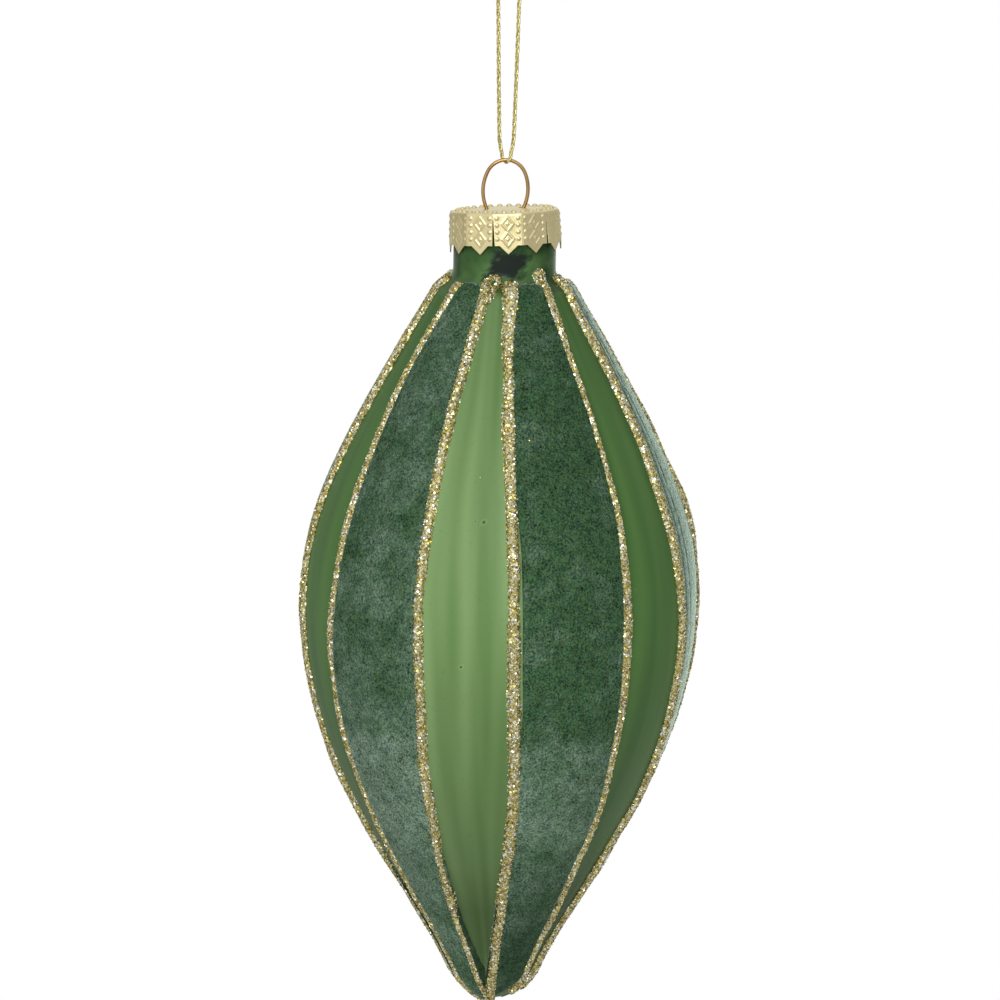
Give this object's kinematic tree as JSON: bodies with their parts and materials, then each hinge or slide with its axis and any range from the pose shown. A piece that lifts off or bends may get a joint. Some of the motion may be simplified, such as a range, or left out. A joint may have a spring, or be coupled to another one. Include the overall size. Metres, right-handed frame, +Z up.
{
  "type": "drop ornament",
  "caption": "Hanging spindle-shaped glass drop with raised velvet panels between glitter lines, a pressed crown cap with a sprung wire ring, and a knotted thread loop.",
  "frame": {"origin": "top of the thread loop, just under its knot, where a hook or twig carries the ornament", "axes": "+Z up along the ornament's axis, -Y towards the side shown in the picture, +X to that side's right"},
  "size_m": [0.0704, 0.0704, 0.2083],
  "materials": {
    "lacquered_glass": "blown glass, satin light green lacquer, bare glossy dark green at the neck",
    "velvet": "dark green flocked velvet",
    "glitter": "gold and silver glitter glue",
    "cap_metal": "pressed sheet, pale gold",
    "wire": "drawn wire, bronze gold",
    "thread": "twisted metallic gold thread"
  },
  "bodies": {
    "knot": {"cord_knot": "thread"},
    "cord": {"hanging_cord": "thread"},
    "hanger": {"hanger_wire": "wire", "crown_cap": "cap_metal"},
    "ornament": {"glass_body": "lacquered_glass", "velvet_panel_1": "velvet", "velvet_panel_2": "velvet", "velvet_panel_3": "velvet", "velvet_panel_4": "velvet", "velvet_panel_5": "velvet", "velvet_panel_6": "velvet", "glitter_line_1": "glitter", "glitter_line_2": "glitter", "glitter_line_3": "glitter", "glitter_line_4": "glitter", "glitter_line_5": "glitter", "glitter_line_6": "glitter", "glitter_line_7": "glitter", "glitter_line_8": "glitter", "glitter_line_9": "glitter", "glitter_line_10": "glitter", "glitter_line_11": "glitter", "glitter_line_12": "glitter"}
  },
  "joints": [
    {"name": "cord_twist", "type": "hinge", "parent": "knot", "child": "cord", "pos_m": [0, 0, 0], "axis": [0, 0, 1], "range_deg": [-180, 180]},
    {"name": "ring_swing", "type": "hinge", "parent": "cord", "child": "hanger", "pos_m": [0, 0, -0.05], "axis": [1, 0, 0], "range_deg": [-75, 75]},
    {"name": "neck_pull", "type": "slide", "parent": "hanger", "child": "ornament", "axis": [0, 0, -1], "range_m": [0, 0.03]}
  ]
}
